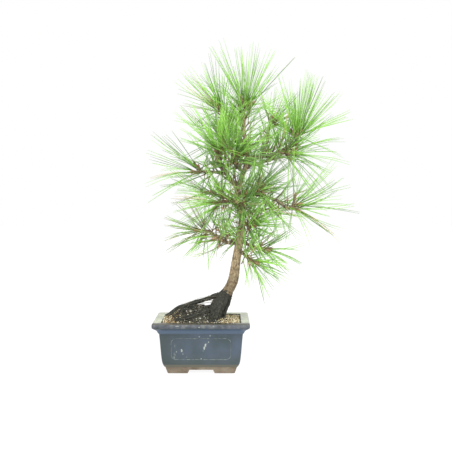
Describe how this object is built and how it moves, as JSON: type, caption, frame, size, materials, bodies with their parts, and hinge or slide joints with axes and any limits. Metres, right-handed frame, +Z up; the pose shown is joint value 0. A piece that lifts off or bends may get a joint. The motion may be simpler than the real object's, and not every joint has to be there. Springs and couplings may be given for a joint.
{
  "type": "japanese black pine bonsai in a pot",
  "caption": "Leaning black pine grown as a bonsai, with bare surface roots and tufts of long needles, standing in a glazed rectangular pot.",
  "frame": {"origin": "on the floor under the middle of the whole plant's box", "axes": "+Z up, +X to the right along the pot's long side as the picture shows it, +Y away from the viewer"},
  "size_m": [0.336, 0.277, 0.5217],
  "materials": {
    "glaze": "satin",
    "soil": "matte",
    "bark": "matte",
    "root_bark": "matte",
    "needles": "matte"
  },
  "bodies": {
    "root": {"pot": "glaze", "soil": "soil", "trunk": "bark", "root_left": "root_bark", "root_front": "root_bark", "root_back": "root_bark", "bough_leader_left": "bark", "bough_top_left": "bark", "bough_front_left": "bark", "bough_left": "bark", "bough_right_top": "bark", "bough_right_inner": "bark", "bough_right_side": "bark", "bough_right": "bark", "bough_front_right": "bark", "bough_front_mid": "bark", "bough_front": "bark", "bough_front_low": "bark", "bough_left_mid": "bark", "bough_low_left": "bark", "bough_low_left_front": "bark", "bough_low_right": "bark", "bough_low_right_side": "bark", "bough_back_low": "bark", "bough_back_right": "bark", "bough_back_left": "bark", "bough_back_top_right": "bark", "bough_back_top_left": "bark", "needles_apex": "needles", "needles_top_left": "needles", "needles_front_left": "needles", "needles_left": "needles", "needles_right_top": "needles", "needles_right_inner": "needles", "needles_right_side": "needles", "needles_right": "needles", "needles_front_right": "needles", "needles_front_mid": "needles", "needles_front": "needles", "needles_front_low": "needles", "needles_left_mid": "needles", "needles_low_left": "needles", "needles_low_left_front": "needles", "needles_low_right": "needles", "needles_low_right_side": "needles", "needles_back_low": "needles", "needles_back_right": "needles", "needles_back_left": "needles", "needles_back_top_right": "needles", "needles_back_top_left": "needles"}
  },
  "joints": []
}
